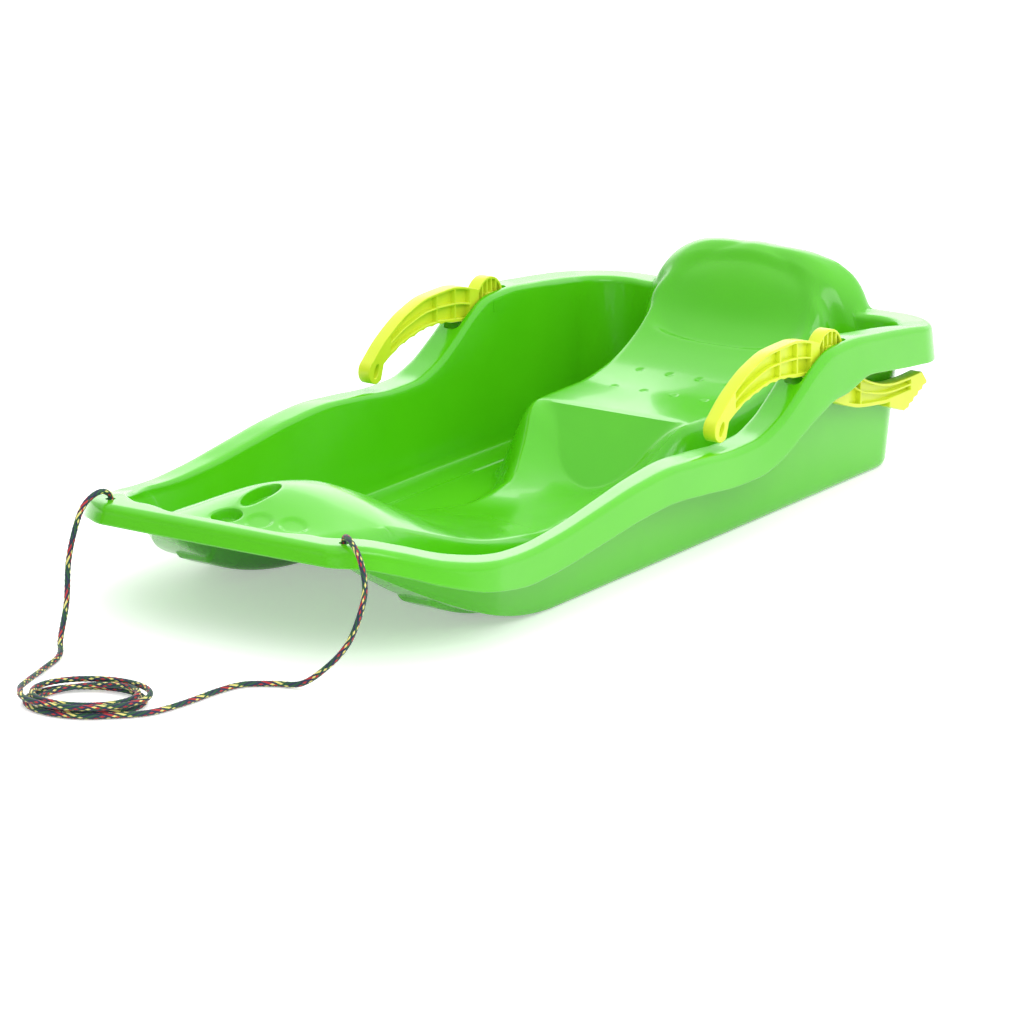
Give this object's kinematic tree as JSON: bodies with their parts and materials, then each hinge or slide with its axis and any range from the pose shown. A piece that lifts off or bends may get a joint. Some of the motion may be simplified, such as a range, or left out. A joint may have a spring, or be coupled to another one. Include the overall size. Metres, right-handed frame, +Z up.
{
  "type": "sled",
  "caption": "Child's moulded plastic tub sled with a raised seat, swinging side brake levers with hand grips and toothed tails, and a pull rope at the nose.",
  "frame": {"origin": "on the floor, under the middle of the sled's tub", "axes": "+X to the rider's left, +Y to the rear of the sled, +Z up"},
  "size_m": [0.4, 1.079, 0.18],
  "materials": {
    "hull_green": "glossy moulded plastic",
    "lever_lime": "glossy moulded plastic",
    "pin_steel": "plain drawn wire",
    "rope_braid": "braided synthetic cord"
  },
  "bodies": {
    "sled": {"hull": "hull_green", "pivot_pin_left": "pin_steel", "pivot_pin_right": "pin_steel", "rope_left": "rope_braid", "rope_coil": "rope_braid", "rope_right": "rope_braid", "knot_left": "rope_braid", "knot_right": "rope_braid"},
    "lever_left": {"brake_lever_left": "lever_lime"},
    "lever_right": {"brake_lever_right": "lever_lime"}
  },
  "joints": [
    {"name": "brake_left", "type": "hinge", "parent": "sled", "child": "lever_left", "pos_m": [0.1808, 0.225, 0.13825], "axis": [-1, 0, 0], "range_deg": [0, 40]},
    {"name": "brake_right", "type": "hinge", "parent": "sled", "child": "lever_right", "pos_m": [-0.1808, 0.225, 0.13825], "axis": [-1, 0, 0], "range_deg": [0, 40]}
  ]
}
